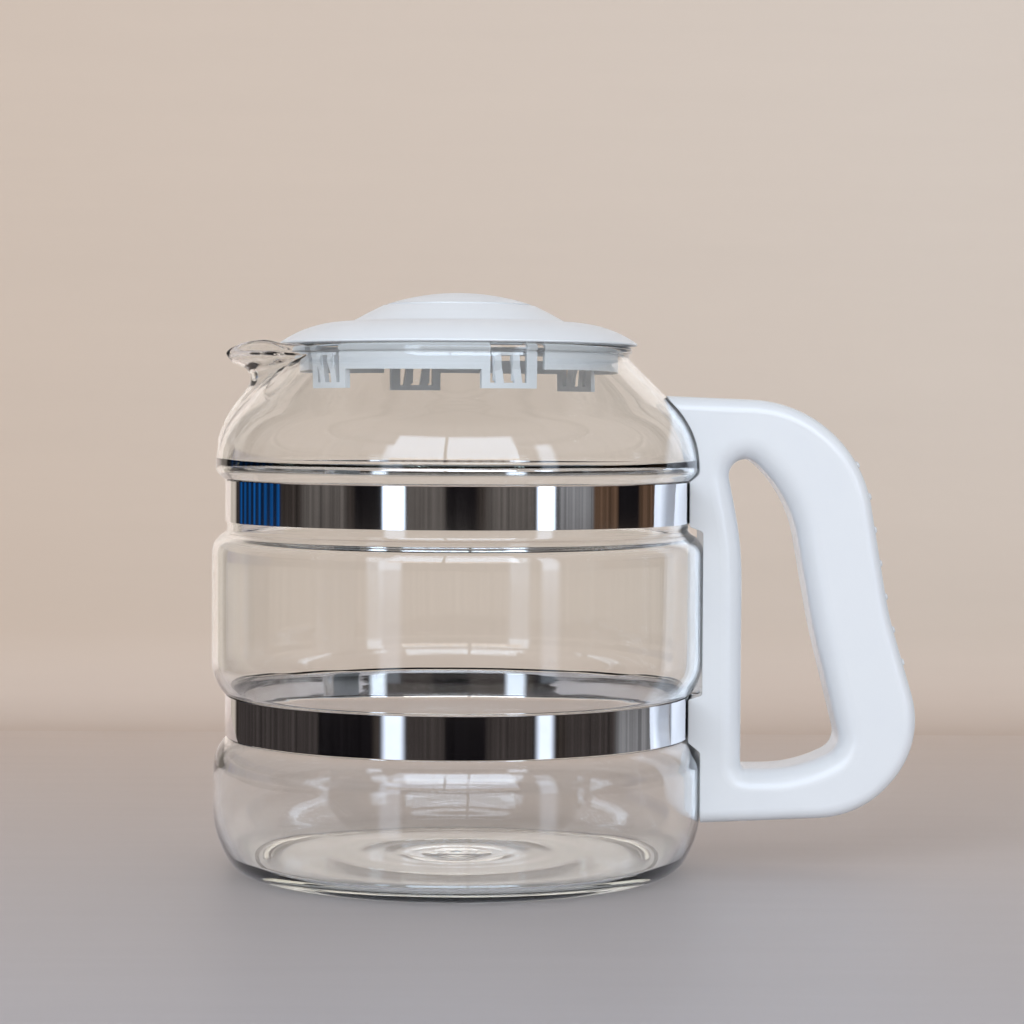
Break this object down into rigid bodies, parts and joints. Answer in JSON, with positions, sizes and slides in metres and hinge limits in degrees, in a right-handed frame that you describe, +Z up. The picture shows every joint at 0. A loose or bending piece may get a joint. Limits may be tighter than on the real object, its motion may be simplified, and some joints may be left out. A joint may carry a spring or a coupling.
{
  "type": "glass coffee carafe",
  "caption": "Round glass drip-coffee carafe with a beak spout, two polished clamp bands, a white D-shaped handle and a lift-off domed brew-through lid.",
  "frame": {"origin": "on the vessel's axis, in the plane that its foot ring stands on", "axes": "+Z up along the vessel's axis; +X towards the handle, with the spout at -X; +Y across, left when looking from the spout to the handle"},
  "size_m": [0.2082, 0.146, 0.1713],
  "materials": {
    "glass": "clear, fire-polished",
    "band_metal": "mirror-polished stainless strip",
    "fastener_steel": "zinc plated",
    "handle_plastic": "smooth glossy moulding",
    "lid_plastic": "smooth semi-gloss moulding"
  },
  "bodies": {
    "carafe": {"glass_body": "glass", "upper_band": "band_metal", "lower_band": "band_metal", "handle_body": "handle_plastic", "handle_cover": "handle_plastic", "upper_barrel_nut": "fastener_steel", "lower_barrel_nut": "fastener_steel", "upper_band_washer": "fastener_steel", "lower_band_washer": "fastener_steel", "upper_band_screw": "fastener_steel", "lower_band_screw": "fastener_steel", "cover_screws": "fastener_steel"},
    "lid": {"lid": "lid_plastic"}
  },
  "joints": [
    {"name": "lid_lift", "type": "slide", "parent": "carafe", "child": "lid", "axis": [0, 0, 1], "range_m": [0, 0.06]}
  ]
}
